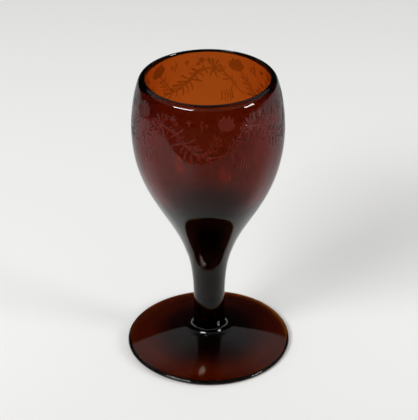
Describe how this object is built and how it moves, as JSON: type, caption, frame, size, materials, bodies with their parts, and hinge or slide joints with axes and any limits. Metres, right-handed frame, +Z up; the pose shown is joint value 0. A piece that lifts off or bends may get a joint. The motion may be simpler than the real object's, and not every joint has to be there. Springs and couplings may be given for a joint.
{
  "type": "stemmed glass",
  "caption": "Stemmed drinking glass with a tall ovoid bowl drawn in at the mouth, a solid stem and a broad round foot, with a band of cut flowers and leaves around the bowl.",
  "frame": {"origin": "centre of the circle that the foot rests on, on the table", "axes": "+Z up along the axis of the glass, -Y towards the side that the picture was taken from, +X to that view's right"},
  "size_m": [0.0718, 0.0718, 0.13],
  "materials": {
    "amber_glass": "clear dark amber glass with a polished surface, with fine frosted cuts in a band around the bowl"
  },
  "bodies": {
    "root": {"foot": "amber_glass", "stem": "amber_glass", "bowl": "amber_glass"}
  },
  "joints": []
}
